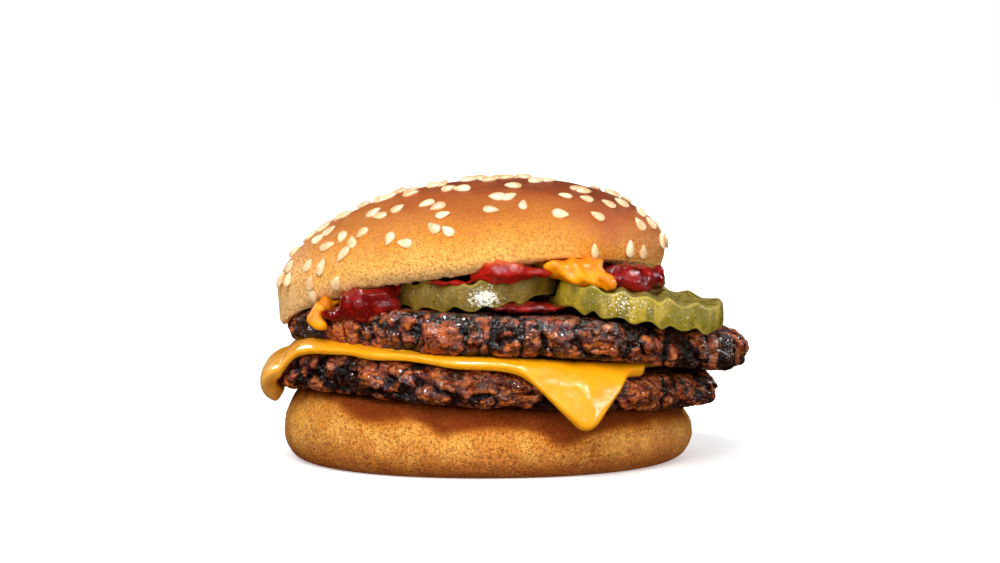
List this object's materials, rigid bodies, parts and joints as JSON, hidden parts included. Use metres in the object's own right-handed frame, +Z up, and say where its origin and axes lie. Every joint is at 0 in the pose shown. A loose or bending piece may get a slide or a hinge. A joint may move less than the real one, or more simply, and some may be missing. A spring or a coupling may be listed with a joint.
{
  "type": "double cheeseburger",
  "caption": "Seeded-bun double cheeseburger with two beef patties, a melted cheese slice, crinkle-cut pickles, ketchup and mustard.",
  "frame": {"origin": "middle of the flat underside of the bottom bun, on the surface it stands on", "axes": "+Z up through the stack; +X to the right of someone facing the front, where the pickles show; the front faces -Y"},
  "size_m": [0.12, 0.1154, 0.069],
  "materials": {
    "bun_crust": "baked bread crust with a soft sheen",
    "patty": "grilled minced beef, moist",
    "cheese": "melted processed cheese",
    "pickle": "wet pickled cucumber",
    "ketchup": "wet tomato sauce",
    "mustard": "smooth wet sauce"
  },
  "bodies": {
    "root": {"bun_heel": "bun_crust", "patty_lower": "patty", "cheese_slice": "cheese", "patty_upper": "patty", "pickle_left": "pickle", "pickle_right": "pickle", "ketchup": "ketchup", "mustard": "mustard", "bun_crown": "bun_crust"}
  },
  "joints": []
}
